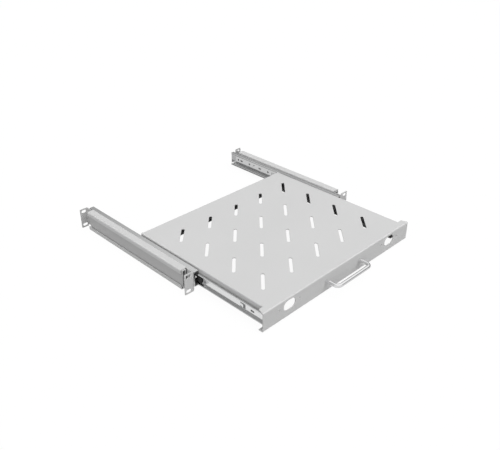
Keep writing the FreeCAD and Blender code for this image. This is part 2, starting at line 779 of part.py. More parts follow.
# Release lever: a moulded lever on a rivet, whose hook meets the outer member's front stop at full travel
def make_lever():
    pad = lever_pad_height / 2
    arm = lever_arm_height / 2
    body = lever_body_height / 2
    front_y = lever_pivot_y - lever_front_reach
    pad_rear_y = front_y + lever_pad_length
    body_front_y = lever_pivot_y - lever_body_reach
    body_rear_y = lever_pivot_y + lever_body_reach
    tail_start_y = body_rear_y + lever_tail_slope
    tail_end_y = hook_y + lever_hook_length
    tail_bottom = stop_tab_bottom - lever_tail_height
    half_heights = [
        (front_y, pad),
        (pad_rear_y, pad),
        (pad_rear_y + lever_pad_slope, arm),
        (body_front_y - lever_body_slope, arm),
        (body_front_y, body),
        (body_rear_y, body),
    ]
    above = [(y, slide_z + height) for y, height in half_heights]
    below = [(y, slide_z - height) for y, height in reversed(half_heights)]
    tail = [
        (tail_start_y, stop_tab_bottom),
        (tail_end_y, stop_tab_bottom),
        (tail_end_y, tail_bottom),
        (tail_start_y, tail_bottom),
    ]
    nose = [(front_y, slide_z)]
    corners = [Vector(lever_back_x, y, z) for y, z in nose + above + tail + below + nose]
    outline = rounded_path(corners, [lever_corner] * (len(corners) - 2))
    lever = Part.Face(Part.Wire(outline)).extrude(Vector(lever_thickness, 0, 0))
    hook = box(lever_back_x, hook_x, hook_y, tail_end_y, stop_tab_bottom - lever_corner, stop_tab_top)
    holes = bars_across(rivet_diameter + 2 * fit_clearance, [lever_pivot_y],
                        lever_back_x - cut_over, lever_face_x + cut_over)
    middle = Vector((lever_back_x + lever_face_x) / 2, front_y + lever_window_from_front,
                    slide_z + lever_window_rise)
    holes.append(obround(middle, lever_window_length, lever_window_width, lever_thickness, AXIS_Y, AXIS_X))
    return clean(lever.fuse(hook).cut(holes))


def make_lever_rivet():
    seat = lever_face_x + fit_clearance
    shank = bars_across(rivet_diameter, [lever_pivot_y], inner_back_x, seat)[0]
    head = bars_across(rivet_head, [lever_pivot_y], seat, seat + rivet_head_height)[0]
    return clean(shank.fuse(head))


single_pieces = {
    "shelf_tray": make_tray(),
    "handle": make_handle(),
    "handle_screws": make_handle_screws(),
}
handed_pieces = {
    "bracket": make_bracket(),
    "outer_channel": make_outer_channel(),
    "rear_ear": make_rear_ear(),
    "slide_outer": make_slide_outer(),
    "slide_inner": make_slide_inner(),
    "slide_cage": make_cage(),
    "slide_balls": make_balls(),
    "end_cap": make_end_cap(),
    "release_lever": make_lever(),
    "lever_rivet": make_lever_rivet(),
    "slide_spacers": make_slide_spacers(),
    "tray_screws": make_tray_screws(),
    "tray_nuts": make_tray_nuts(),
    "bracket_screws": make_bracket_screws(),
    "bracket_nuts": make_bracket_nuts(),
}

os.makedirs("parts", exist_ok=True)
for name, shape in single_pieces.items():
    shape.exportStep(f"parts/{name}.step")
for name, shape in handed_pieces.items():
    shape.exportStep(f"parts/{name}_right.step")
    shape.mirror(Vector(0, 0, 0), AXIS_X).exportStep(f"parts/{name}_left.step")
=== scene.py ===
import math

import bmesh
import bpy
from mathutils import Matrix, Vector


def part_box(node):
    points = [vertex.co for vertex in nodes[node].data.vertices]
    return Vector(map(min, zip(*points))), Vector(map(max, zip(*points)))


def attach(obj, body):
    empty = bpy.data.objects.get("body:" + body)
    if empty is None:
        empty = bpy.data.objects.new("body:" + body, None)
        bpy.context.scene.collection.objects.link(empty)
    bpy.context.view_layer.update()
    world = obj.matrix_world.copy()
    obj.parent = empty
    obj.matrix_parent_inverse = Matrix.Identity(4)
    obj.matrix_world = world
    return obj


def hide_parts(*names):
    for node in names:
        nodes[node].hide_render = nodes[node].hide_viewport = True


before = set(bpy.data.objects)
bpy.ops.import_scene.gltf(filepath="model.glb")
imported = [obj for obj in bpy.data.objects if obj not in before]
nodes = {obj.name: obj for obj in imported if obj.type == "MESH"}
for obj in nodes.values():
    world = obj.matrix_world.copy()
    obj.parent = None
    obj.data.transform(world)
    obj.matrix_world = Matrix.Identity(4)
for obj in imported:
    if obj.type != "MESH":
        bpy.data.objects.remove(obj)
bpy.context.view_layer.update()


# Outer channels and rear ears: folded 1.5 mm steel with a light grey powder coat. The front rack ears are
# bent from the channels' webs. The rear ears slide in the channels on box sections, in the same coat
# painted darker as painted shade. Both coats are also darkened in their hollows as painted shade.
SIDES = ("left", "right")
COAT_GREY = 0.605
SHADED_REAR_COAT_GREY = 0.495


def new_group(name, takes, gives):
    """An empty shader node group with its named sockets, and its first and last node."""
    group = bpy.data.node_groups.new(name, "ShaderNodeTree")
    for in_out, sockets in (("INPUT", takes), ("OUTPUT", gives)):
        for socket, kind in sockets.items():
            group.interface.new_socket(socket, in_out=in_out, socket_type=f"NodeSocket{kind}")
    return group, group.nodes.new("NodeGroupInput"), group.nodes.new("NodeGroupOutput")


def ramp(tree, value, starts, ends, low, high):
    """A node whose result runs from low to high while a value runs from starts to ends."""
    node = tree.nodes.new("ShaderNodeMapRange")
    for socket, number in (("From Min", starts), ("From Max", ends), ("To Min", low), ("To Max", high)):
        node.inputs[socket].default_value = number
    tree.links.new(value, node.inputs["Value"])
    return node


def surface_texture():
    """A group with broad soft clouds and a fine grain, both on the piece's own coordinates."""
    group, start, end = new_group("surface_texture", {"Cloud Scale": "Float", "Grain Scale": "Float"},
                                  {"Clouds": "Float", "Grain": "Float"})
    place = group.nodes.new("ShaderNodeTexCoord")
    for output, scale, detail in (("Clouds", "Cloud Scale", 4.0), ("Grain", "Grain Scale", 2.0)):
        noise = group.nodes.new("ShaderNodeTexNoise")
        noise.inputs["Detail"].default_value = detail
        group.links.new(place.outputs["Object"], noise.inputs["Vector"])
        group.links.new(start.outputs[scale], noise.inputs["Scale"])
        group.links.new(noise.outputs["Fac"], end.inputs[output])
    return group


def softened_edges():
    """A group with the surface's direction rounded over its edges, and a mask of those edges."""
    group, start, end = new_group("softened_edges", {"Radius": "Float"},
                                  {"Normal": "Vector", "Edge": "Float"})
    rounded = group.nodes.new("ShaderNodeBevel")
    rounded.samples = 6
    surface = group.nodes.new("ShaderNodeNewGeometry")
    likeness = group.nodes.new("ShaderNodeVectorMath")
    likeness.operation = "DOT_PRODUCT"
    mask = ramp(group, likeness.outputs["Value"], starts=0.99, ends=0.80, low=0.0, high=1.0)
    group.links.new(start.outputs["Radius"], rounded.inputs["Radius"])
    group.links.new(rounded.outputs["Normal"], likeness.inputs[0])
    group.links.new(surface.outputs["Normal"], likeness.inputs[1])
    group.links.new(rounded.outputs["Normal"], end.inputs["Normal"])
    group.links.new(mask.outputs["Result"], end.inputs["Edge"])
    return group


def hollows(name, alone):
    """Painted shade: darkens a colour in hollows, either of one piece alone or also between pieces."""
    group, start, end = new_group(name, {"Colour": "Color", "Reach": "Float", "Deepest": "Float"},
                                  {"Colour": "Color"})
    # Painted shade: the nearer other surfaces close a spot in, the darker its colour is made.
    openness = group.nodes.new("ShaderNodeAmbientOcclusion")
    openness.samples = 8
    openness.only_local = alone
    share = ramp(group, openness.outputs["AO"], starts=0.10, ends=0.48, low=0.0, high=1.0)
    darker = group.nodes.new("ShaderNodeMix")
    darker.data_type = "RGBA"
    darker.blend_type = "MULTIPLY"
    darker.inputs["Factor"].default_value = 1.0
    group.links.new(start.outputs["Reach"], openness.inputs["Distance"])
    group.links.new(start.outputs["Deepest"], share.inputs["To Min"])
    group.links.new(start.outputs["Colour"], darker.inputs["A"])
    group.links.new(share.outputs["Result"], darker.inputs["B"])
    group.links.new(darker.outputs["Result"], end.inputs["Colour"])
    return group


texture_group = surface_texture()
edge_group = softened_edges()
painted_shade_of_piece = hollows("painted_shade_in_hollows_of_a_piece", alone=True)
painted_shade_between = hollows("painted_shade_in_hollows_between_pieces", alone=False)


def new_finish(name, cloud_scale, grain_scale, edge_radius):
    """An empty material with its shader, and the texture and edge groups placed in it."""
    finish = bpy.data.materials.new(name)
    finish.use_nodes = True
    tree = finish.node_tree
    texture = tree.nodes.new("ShaderNodeGroup")
    texture.node_tree = texture_group
    texture.inputs["Cloud Scale"].default_value = cloud_scale
    texture.inputs["Grain Scale"].default_value = grain_scale
    edges = tree.nodes.new("ShaderNodeGroup")
    edges.node_tree = edge_group
    edges.inputs["Radius"].default_value = edge_radius
    return finish, tree, tree.nodes["Principled BSDF"], texture, edges


def tint(tree, shader, clouds, low, high, edge, edge_wear_and_highlight_colour):
    """The colour of a finish: two tones by its clouds, and an edge tone of wear and painted highlight."""
    body = tree.nodes.new("ShaderNodeMix")
    body.data_type = "RGBA"
    body.inputs["A"].default_value = (*low, 1.0)
    body.inputs["B"].default_value = (*high, 1.0)
    # Painted highlight and a little wear: the edge tone is mixed in along the rounded edges.
    whole = tree.nodes.new("ShaderNodeMix")
    whole.data_type = "RGBA"
    whole.inputs["B"].default_value = (*edge_wear_and_highlight_colour, 1.0)
    tree.links.new(clouds, body.inputs["Factor"])
    tree.links.new(body.outputs["Result"], whole.inputs["A"])
    tree.links.new(edge, whole.inputs["Factor"])
    tree.links.new(whole.outputs["Result"], shader.inputs["Base Color"])


def gloss(tree, shader, mask, low, high):
    """The roughness of a finish, between two values by a mask."""
    roughness = ramp(tree, mask, starts=0.3, ends=0.7, low=low, high=high)
    tree.links.new(roughness.outputs["Result"], shader.inputs["Roughness"])


def relief(tree, shader, height, edges, strength, distance):
    """The relief of a finish: a height over the rounded edges."""
    bump = tree.nodes.new("ShaderNodeBump")
    bump.inputs["Strength"].default_value = strength
    bump.inputs["Distance"].default_value = distance
    tree.links.new(height, bump.inputs["Height"])
    tree.links.new(edges.outputs["Normal"], bump.inputs["Normal"])
    tree.links.new(bump.outputs["Normal"], shader.inputs["Normal"])


def paint_shade_in_hollows(finish, group, reach, deepest):
    """Sets a group of painted shade for hollows between the colour of a finish and its shader."""
    tree = finish.node_tree
    hollow = tree.nodes.new("ShaderNodeGroup")
    hollow.node_tree = group
    hollow.inputs["Reach"].default_value = reach
    hollow.inputs["Deepest"].default_value = deepest
    base = tree.nodes["Principled BSDF"].inputs["Base Color"]
    colour = base.links[0].from_socket
    tree.links.new(colour, hollow.inputs["Colour"])
    tree.links.new(hollow.outputs["Colour"], base)


def powder_coat(name, grey):
    """A matt coat with a fine orange-peel grain, and edges lighter as wear and painted highlight."""
    finish, tree, shader, texture, edges = new_finish(name, cloud_scale=7.0, grain_scale=1100.0,
                                                      edge_radius=0.0005)
    shader.inputs["Specular IOR Level"].default_value = 0.3
    # Painted highlight and a little wear: the edge tone is the coat's grey made 9 % lighter.
    low, high, worn_and_highlit_edge = ((grey * share,) * 3 for share in (0.97, 1.03, 1.09))
    tint(tree, shader, texture.outputs["Clouds"], low, high, edges.outputs["Edge"], worn_and_highlit_edge)
    gloss(tree, shader, texture.outputs["Clouds"], low=0.46, high=0.56)
    relief(tree, shader, texture.outputs["Grain"], edges, strength=0.22, distance=0.00012)
    return finish


def dress(finish, *names):
    """Puts a finish on CAD nodes."""
    for name in names:
        mesh = nodes[name].data
        mesh.materials.clear()
        mesh.materials.append(finish)


channel_coat = powder_coat("powder_coat_of_channels", COAT_GREY)
# Painted shade: the channels' coat is darkened in hollows, also where other pieces come near.
paint_shade_in_hollows(channel_coat, painted_shade_between, reach=0.012, deepest=0.15)
# Painted shade: the rear ears take the same coat painted darker, darkened too in their own hollows.
shaded_rear_coat = powder_coat("powder_coat_of_rear_ears_painted_darker_as_shade", SHADED_REAR_COAT_GREY)
paint_shade_in_hollows(shaded_rear_coat, painted_shade_of_piece, reach=0.012, deepest=0.15)
for side in SIDES:
    dress(channel_coat, f"outer_channel_{side}")
    dress(shaded_rear_coat, f"rear_ear_{side}")


# Brackets and ball slides: brackets, outer and inner members and ball cages, roll formed from cold rolled
# strip and bright zinc plated. The rolling leaves faint lines along their length.
def rolled_lines():
    """A group with fine lines along Y, as rolling leaves them on strip."""
    group, _, end = new_group("rolled_lines", {}, {"Lines": "Float"})
    place = group.nodes.new("ShaderNodeTexCoord")
    stretch = group.nodes.new("ShaderNodeMapping")
    stretch.inputs["Scale"].default_value = (700.0, 5.0, 700.0)
    lines = group.nodes.new("ShaderNodeTexNoise")
    lines.inputs["Scale"].default_value = 1.0
    lines.inputs["Detail"].default_value = 3.0
    group.links.new(place.outputs["Object"], stretch.inputs["Vector"])
    group.links.new(stretch.outputs["Vector"], lines.inputs["Vector"])
    group.links.new(lines.outputs["Fac"], end.inputs["Lines"])
    return group


lines_group = rolled_lines()


def bright_zinc(name):
    """Zinc plated strip that mirrors its surroundings, with the lines of the rolling in it."""
    finish, tree, shader, texture, edges = new_finish(name, cloud_scale=26.0, grain_scale=900.0,
                                                      edge_radius=0.0003)
    lines = tree.nodes.new("ShaderNodeGroup")
    lines.node_tree = lines_group
    shader.inputs["Metallic"].default_value = 1.0
    tint(tree, shader, texture.outputs["Clouds"], (0.70, 0.705, 0.71), (0.78, 0.78, 0.78),
         edges.outputs["Edge"], (0.84, 0.84, 0.84))
    gloss(tree, shader, lines.outputs["Lines"], low=0.13, high=0.20)
    relief(tree, shader, lines.outputs["Lines"], edges, strength=0.03, distance=0.00002)
    return finish


bracket_zinc = bright_zinc("bright_zinc_of_brackets")
# Painted shade: the brackets' zinc is darkened in hollows, also where other pieces come near.
paint_shade_in_hollows(bracket_zinc, painted_shade_between, reach=0.005, deepest=0.2)
slide_zinc = bright_zinc("bright_zinc_of_slides")
# Painted shade: the slides' zinc is darkened in the hollows of each piece.
paint_shade_in_hollows(slide_zinc, painted_shade_of_piece, reach=0.008, deepest=0.3)
for side in SIDES:
    dress(bracket_zinc, f"bracket_{side}")
    dress(slide_zinc, f"slide_outer_{side}", f"slide_inner_{side}", f"slide_cage_{side}")


# Balls: hardened, ground and polished steel, four in each row of each cage. The cage keeps them apart
# while they roll between the outer and the inner member.
def polished_steel():
    """Ground steel with a mirror polish."""
    finish, tree, shader, texture, edges = new_finish("polished_ball_steel", cloud_scale=400.0,
                                                      grain_scale=900.0, edge_radius=0.0001)
    shader.inputs["Metallic"].default_value = 1.0
    tint(tree, shader, texture.outputs["Clouds"], (0.62, 0.62, 0.63), (0.70, 0.70, 0.70),
         edges.outputs["Edge"], (0.72, 0.72, 0.72))
    gloss(tree, shader, texture.outputs["Clouds"], low=0.08, high=0.14)
    return finish


ball_steel = polished_steel()
for side in SIDES:
    dress(ball_steel, f"slide_balls_{side}")


# End caps: injection moulded black plastic with a fine eroded texture and slightly rounded edges.
# A cap is pushed over the front end of each outer member and held by its two plugs.
CAP_EDGE_RADIUS = 0.00022
SHADED_SHARP_FROM = math.radians(32.0)
ROUNDED_FROM = math.radians(40.0)
FLAT_WITHIN = math.radians(1.0)


def moulded_black():
    """Black plastic with the texture of an eroded mould."""
    finish, tree, shader, texture, edges = new_finish("moulded_black_plastic", cloud_scale=60.0,
                                                      grain_scale=3200.0, edge_radius=0.0001)
    tint(tree, shader, texture.outputs["Clouds"], (0.008, 0.008, 0.008), (0.016, 0.016, 0.016),
         edges.outputs["Edge"], (0.022, 0.022, 0.022))
    gloss(tree, shader, texture.outputs["Clouds"], low=0.38, high=0.5)
    relief(tree, shader, texture.outputs["Grain"], edges, strength=0.3, distance=0.00006)
    return finish


def new_piece(name, shape, finish, body):
    """Makes a piece of a finished shape that moves with a body."""
    bmesh.ops.recalc_face_normals(shape, faces=shape.faces)
    mesh = bpy.data.meshes.new(name)
    shape.to_mesh(mesh)
    shape.free()
    mesh.shade_smooth()
    mesh.set_sharp_from_angle(angle=SHADED_SHARP_FROM)
    mesh.materials.append(finish)
    piece = bpy.data.objects.new(name, mesh)
    bpy.context.scene.collection.objects.link(piece)
    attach(piece, body)
    return piece


def put_in(name, shape, finish, node, body):
    """Makes a piece that stands for a CAD node, and hides the node."""
    piece = new_piece(name, shape, finish, body)
    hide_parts(node)


def round_edges(shape, edges, radius, segments):
    """Rounds some edges of a shape."""
    bmesh.ops.bevel(shape, geom=edges, offset=radius, offset_type="OFFSET", affect="EDGES",
                    segments=segments, profile=0.5, material=-1, clamp_overlap=True)


def rounded_moulding(node, radius):
    """The shape of a CAD node with its sharp edges rounded, as a moulding has them."""
    shape = bmesh.new()
    shape.from_mesh(nodes[node].data)
    bmesh.ops.remove_doubles(shape, verts=shape.verts, dist=1e-6)
    bmesh.ops.dissolve_limit(shape, angle_limit=FLAT_WITHIN, verts=shape.verts, edges=shape.edges)
    sharp = [edge for edge in shape.edges if edge.calc_face_angle(0.0) > ROUNDED_FROM]
    round_edges(shape, sharp, radius, segments=3)
    return shape


black_plastic = moulded_black()
for side in SIDES:
    put_in(f"moulded_end_cap_{side}", rounded_moulding(f"end_cap_{side}", CAP_EDGE_RADIUS), black_plastic,
           f"end_cap_{side}", "brackets")


# Stop buffers: small white nylon pads in the end caps, pushed onto the front stops of the outer members
# to quiet the end of the travel. Each has rounded corners and a shallow moulded hollow in its face.
OUTWARDS = {"left": -1, "right": 1}
PAD_SIZE = (0.0036, 0.0010, 0.0035)
PAD_CORNER_RADIUS = 0.0008
PAD_RIM_RADIUS = 0.0002
PAD_RIM_WIDTH = 0.0005
PAD_HOLLOW_DEPTH = 0.0002
PAD_FROM_INNER_SIDE = 0.0063
PAD_BEHIND_FRONT = 0.0007
PAD_ABOVE_FOOT = 0.0196


def white_nylon():
    """Natural white nylon with the texture of its mould."""
    finish, tree, shader, texture, edges = new_finish("white_nylon", cloud_scale=90.0, grain_scale=2600.0,
                                                      edge_radius=0.0001)
    tint(tree, shader, texture.outputs["Clouds"], (0.76, 0.76, 0.75), (0.82, 0.82, 0.81),
         edges.outputs["Edge"], (0.84, 0.84, 0.83))
    gloss(tree, shader, texture.outputs["Clouds"], low=0.36, high=0.46)
    relief(tree, shader, texture.outputs["Grain"], edges, strength=0.15, distance=0.00004)
    return finish


def front_face(shape):
    """The face of a shape that lies furthest to the front."""
    return min(shape.faces, key=lambda face: face.calc_center_median().y)


def buffer_pad(centre):
    """A pad facing -Y with rounded corners, a broken rim and a hollow in its face."""
    shape = bmesh.new()
    bmesh.ops.create_cube(shape, size=1.0)
    bmesh.ops.scale(shape, verts=shape.verts, vec=PAD_SIZE)
    bmesh.ops.translate(shape, verts=shape.verts, vec=centre)
    half_depth = PAD_SIZE[1] / 2
    corners = [edge for edge in shape.edges if abs(edge.verts[0].co.y - edge.verts[1].co.y) > half_depth]
    round_edges(shape, corners, PAD_CORNER_RADIUS, segments=5)
    round_edges(shape, list(front_face(shape).edges), PAD_RIM_RADIUS, segments=3)
    bmesh.ops.inset_individual(shape, faces=[front_face(shape)], thickness=PAD_RIM_WIDTH,
                               depth=-PAD_HOLLOW_DEPTH, use_even_offset=True)
    return shape


nylon = white_nylon()
for side, outwards in OUTWARDS.items():
    low, high = (Vector(corner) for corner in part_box(f"end_cap_{side}"))
    inner = low.x if outwards > 0 else high.x
    pad = buffer_pad((inner + outwards * PAD_FROM_INNER_SIDE, low.y + PAD_BEHIND_FRONT,
                      low.z + PAD_ABOVE_FOOT))
    new_piece(f"stop_buffer_{side}", pad, nylon, "brackets")


# Bracket screws and nuts: zinc plated cross-recessed pan head screws with hexagon nuts, three a side.
# They go through the slide, the bracket and the outer channel, with their nuts inside the channel.
SHANK_RADIUS = 0.002
SHANK_POINT = 0.0004
BRACKET_HEAD_RADIUS = 0.0037
BRACKET_HEAD_HEIGHT = 0.0009
BRACKET_HEAD_FLAT = 0.0031
# Radii of the pan head, from its seat upwards, and their heights over the seat.
BRACKET_HEAD = ((BRACKET_HEAD_RADIUS, 0.0), (BRACKET_HEAD_RADIUS, 0.0004), (0.0035, 0.0007))
BRACKET_NUT_HEIGHT = 0.0022
BRACKET_RECESS_DEPTH = 0.0013
RECESS_REACH = 0.0021
RECESS_WIDTH = 0.0009
RECESS_TAPER = 0.72
NUT_FLATS = 0.007
NUT_BORE_RADIUS = 0.00205
NUT_EDGE_RADIUS = 0.0002
NUT_CORNER_RADIUS = NUT_FLATS / 2 / math.cos(math.pi / 6)
FIXINGS_A_SIDE = 3


def passivated_zinc():
    """Plated and passivated steel, duller than the slides."""
    finish, tree, shader, texture, edges = new_finish("passivated_zinc", cloud_scale=120.0,
                                                      grain_scale=1800.0, edge_radius=0.0002)
    shader.inputs["Metallic"].default_value = 1.0
    tint(tree, shader, texture.outputs["Clouds"], (0.52, 0.53, 0.55), (0.66, 0.66, 0.66),
         edges.outputs["Edge"], (0.74, 0.74, 0.74))
    gloss(tree, shader, texture.outputs["Clouds"], low=0.24, high=0.36)
    relief(tree, shader, texture.outputs["Grain"], edges, strength=0.08, distance=0.00005)
    return finish


def turned_shape(profile):
    """A round shape about Z, spun from its profile of radii and heights."""
    shape = bmesh.new()
    points = [shape.verts.new((radius, 0.0, height)) for radius, height in profile]
    lines = [shape.edges.new(pair) for pair in zip(points, points[1:])]
    bmesh.ops.spin(shape, geom=points + lines, cent=(0.0, 0.0, 0.0), axis=(0.0, 0.0, 1.0),
                   dvec=(0.0, 0.0, 0.0), angle=math.tau, steps=40, use_merge=True)
    bmesh.ops.remove_doubles(shape, verts=shape.verts, dist=1e-7)
    return shape


def screw_profile(length, head_height, head, head_flat):
    """The profile of a screw: a plain shank with a broken point, and its head up to the flat top."""
    seat = length - head_height
    shank = [(0.0, 0.0), (SHANK_RADIUS - SHANK_POINT, 0.0), (SHANK_RADIUS, SHANK_POINT),
             (SHANK_RADIUS, seat)]
    return shank + [(radius, seat + height) for radius, height in head] + [(head_flat, length)]


def only(kind, parts):
    """The parts of a result that are of one kind."""
    return [part for part in parts if isinstance(part, kind)]


def cross_recess(shape, top, reach, width, depth):
    """Closes the open top of a turned head with a face that has a cross-shaped recess in it."""
    rim = [edge for edge in shape.edges if edge.is_boundary]
    foot_reach = reach * RECESS_TAPER
    foot_half_width = width * RECESS_TAPER / 2
    cross = bmesh.ops.create_grid(shape, x_segments=3, y_segments=3, size=foot_reach)["verts"]
    for point in cross:
        for axis in (0, 1):
            if abs(point.co[axis]) < foot_reach / 2:
                point.co[axis] = math.copysign(foot_half_width, point.co[axis])
        point.co.z = top - depth
    corners = [face for face in {face for point in cross for face in point.link_faces}
               if min(abs(place) for place in face.calc_center_median().xy) > foot_half_width]
    bmesh.ops.delete(shape, geom=corners, context="FACES")
    outline = [edge for edge in shape.edges if edge.is_boundary and edge not in rim]
    mouth = bmesh.ops.extrude_edge_only(shape, edges=outline)["geom"]
    points = only(bmesh.types.BMVert, mouth)
    bmesh.ops.scale(shape, verts=points, vec=(1.0 / RECESS_TAPER, 1.0 / RECESS_TAPER, 1.0))
    bmesh.ops.translate(shape, verts=points, vec=(0.0, 0.0, depth))
    mouth_edges = [edge for edge in only(bmesh.types.BMEdge, mouth) if edge.is_boundary]
    bmesh.ops.triangle_fill(shape, edges=rim + mouth_edges, use_beauty=True, normal=(0.0, 0.0, 1.0))


def hexagon_nut(height):
    """A nut about Z with a round bore and broken outer edges."""
    shape = bmesh.new()
    bmesh.ops.create_circle(shape, segments=6, radius=NUT_CORNER_RADIUS)
    bmesh.ops.create_circle(shape, segments=32, radius=NUT_BORE_RADIUS)
    bmesh.ops.triangle_fill(shape, edges=shape.edges[:], use_beauty=True, normal=(0.0, 0.0, 1.0))
    raised = bmesh.ops.extrude_face_region(shape, geom=shape.faces[:])["geom"]
    bmesh.ops.translate(shape, verts=only(bmesh.types.BMVert, raised), vec=(0.0, 0.0, height))
    past_bore = NUT_BORE_RADIUS * 1.1
    rims = [edge for edge in shape.edges if edge.calc_face_angle(0.0) > ROUNDED_FROM
            and min(point.co.xy.length for point in edge.verts) > past_bore]
    round_edges(shape, rims, NUT_EDGE_RADIUS, segments=2)
    return shape


def copies(shape, places):
    """Copies of a shape, one at each place."""
    single = bpy.data.meshes.new("single")
    shape.to_mesh(single)
    shape.free()
    row = bmesh.new()
    for place in places:
        row.from_mesh(single)
        bmesh.ops.transform(row, matrix=place, verts=row.verts[-len(single.vertices):])
    bpy.data.meshes.remove(single)
    return row


def set_along(shape, node, end_margin, facing):
    """Copies of a shape in a row along Y over a CAD node, with their Z axis turned along X."""
    low, high = (Vector(corner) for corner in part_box(node))
    turn = Matrix.Rotation(facing * math.pi / 2, 4, "Y")
    places = []
    for number in range(FIXINGS_A_SIDE):
        y = low.y + end_margin + (high.y - low.y - 2 * end_margin) * number / (FIXINGS_A_SIDE - 1)
        foot = Vector((low.x if facing > 0 else high.x, y, (low.z + high.z) / 2))
        places.append(Matrix.Translation(foot) @ turn)
    return copies(shape, places)


fastener_zinc = passivated_zinc()
for side, outwards in OUTWARDS.items():
    low, high = (Vector(corner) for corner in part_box(f"bracket_screws_{side}"))
    length = high.x - low.x
    screw = turned_shape(screw_profile(length, BRACKET_HEAD_HEIGHT, BRACKET_HEAD, BRACKET_HEAD_FLAT))
    cross_recess(screw, length, RECESS_REACH, RECESS_WIDTH, BRACKET_RECESS_DEPTH)
    put_in(f"pan_head_screws_{side}",
           set_along(screw, f"bracket_screws_{side}", BRACKET_HEAD_RADIUS, -outwards),
           fastener_zinc, f"bracket_screws_{side}", "brackets")
    nut = hexagon_nut(BRACKET_NUT_HEIGHT)
    put_in(f"channel_nuts_{side}", set_along(nut, f"bracket_nuts_{side}", NUT_CORNER_RADIUS, outwards),
           fastener_zinc, f"bracket_nuts_{side}", "brackets")


# Tray: one 1.5 mm steel sheet with slanted air slots, folded down at the front, sides and rear, and
# powder coated as the channels are.
tray_coat = powder_coat("powder_coat_of_tray", COAT_GREY)
dress(tray_coat, "shelf_tray")


# Spacers, tray screws and tray nuts: turned rings between the tray and the inner slide members, with
# countersunk cross-recessed screws through them and hexagon nuts inside the tray, all zinc plated.
TRAY_HEAD_RADIUS = 0.0037
TRAY_HEAD_HEIGHT = 0.0012
TRAY_HEAD_FLAT = 0.0036
# Radii of the countersunk head near its top, and their heights over its foot.
TRAY_HEAD = ((0.00362, 0.0011), (TRAY_HEAD_RADIUS, 0.00117))
TRAY_RECESS_DEPTH = 0.0014
TRAY_NUT_HEIGHT = 0.0026

for side, outwards in OUTWARDS.items():
    dress(fastener_zinc, f"slide_spacers_{side}")
    low, high = (Vector(corner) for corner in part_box(f"tray_screws_{side}"))
    length = high.x - low.x
    screw = turned_shape(screw_profile(length, TRAY_HEAD_HEIGHT, TRAY_HEAD, TRAY_HEAD_FLAT))
    cross_recess(screw, length, RECESS_REACH, RECESS_WIDTH, TRAY_RECESS_DEPTH)
    put_in(f"countersunk_screws_{side}",
           set_along(screw, f"tray_screws_{side}", TRAY_HEAD_RADIUS, outwards),
           fastener_zinc, f"tray_screws_{side}", "shelf")
    nut = hexagon_nut(TRAY_NUT_HEIGHT)
    put_in(f"tray_side_nuts_{side}", set_along(nut, f"tray_nuts_{side}", NUT_CORNER_RADIUS, outwards),
           fastener_zinc, f"tray_nuts_{side}", "shelf")


# Release levers and their rivets: moulded black levers with rounded edges, each on a zinc plated rivet
# with a domed head. Pressing the pad lifts the hook off the outer member's front stop.
LEVER_EDGE_RADIUS = 0.00035
RIVET_RADIUS = 0.0015
RIVET_HEAD_HEIGHT = 0.00075
# Radii of the domed head, from its seat to its crown, and their heights over the seat.
RIVET_DOME = ((0.0024, 0.0), (0.0024, 0.00015), (0.0023, 0.0003), (0.002, 0.00048), (0.0015, 0.00064),
              (0.0008, 0.00073))

for side, outwards in OUTWARDS.items():
    put_in(f"moulded_lever_{side}", rounded_moulding(f"release_lever_{side}", LEVER_EDGE_RADIUS),
           black_plastic, f"release_lever_{side}", f"lever_{side}")
    low, high = (Vector(corner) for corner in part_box(f"lever_rivet_{side}"))
    length = high.x - low.x
    seat = length - RIVET_HEAD_HEIGHT
    rivet = turned_shape([(0.0, 0.0), (RIVET_RADIUS, 0.0), (RIVET_RADIUS, seat)]
                         + [(radius, seat + height) for radius, height in RIVET_DOME] + [(0.0, length)])
    foot = Vector((low.x if outwards > 0 else high.x, (low.y + high.y) / 2, (low.z + high.z) / 2))
    turn = Matrix.Rotation(outwards * math.pi / 2, 4, "Y")
    bmesh.ops.transform(rivet, matrix=Matrix.Translation(foot) @ turn, verts=rivet.verts)
    put_in(f"domed_rivet_{side}", rivet, fastener_zinc, f"lever_rivet_{side}", "shelf")


# Handle: an 8 mm round wire bow, bent, polished and bright nickel plated, tapped at both feet. Two
# cross-recessed pan head screws hold it from behind the front panel.
BEND_RADIUS = 0.009
TAPPED_RADIUS = 0.00205
TAPPED_DEPTH = 0.01
HANDLE_HEAD_RADIUS = 0.004
HANDLE_HEAD_HEIGHT = 0.0024
HANDLE_HEAD_FLAT = 0.0027
# Radii of the pan head, from its seat upwards, and their heights over the seat.
HANDLE_HEAD = ((HANDLE_HEAD_RADIUS, 0.0), (HANDLE_HEAD_RADIUS, 0.0011), (0.0038, 0.0017), (0.0033, 0.0022))
HANDLE_RECESS = {"reach": 0.0023, "width": 0.001, "depth": 0.0018}


def bright_nickel():
    """Polished and nickel plated wire."""
    finish, tree, shader, texture, edges = new_finish("bright_nickel", cloud_scale=45.0, grain_scale=900.0,
                                                      edge_radius=0.0002)
    shader.inputs["Metallic"].default_value = 1.0
    tint(tree, shader, texture.outputs["Clouds"], (0.82, 0.82, 0.83), (0.88, 0.88, 0.88),
         edges.outputs["Edge"], (0.88, 0.88, 0.88))
    gloss(tree, shader, texture.outputs["Clouds"], low=0.08, high=0.14)
    return finish


def run_on(shape, end, way):
    """Carries the open end of a tube straight on, and gives its new end."""
    grown = bmesh.ops.extrude_edge_only(shape, edges=end)["geom"]
    bmesh.ops.translate(shape, verts=only(bmesh.types.BMVert, grown), vec=way)
    return [edge for edge in only(bmesh.types.BMEdge, grown) if edge.is_boundary]


def bend_on(shape, end, centre):
    """Carries the open end of a tube round a quarter bend, and gives its new end."""
    points = list({point for edge in end for point in edge.verts})
    turned = bmesh.ops.spin(shape, geom=points + end, cent=centre, axis=(0.0, 0.0, 1.0),
                            dvec=(0.0, 0.0, 0.0), angle=math.pi / 2, steps=16)["geom_last"]
    return only(bmesh.types.BMEdge, turned)


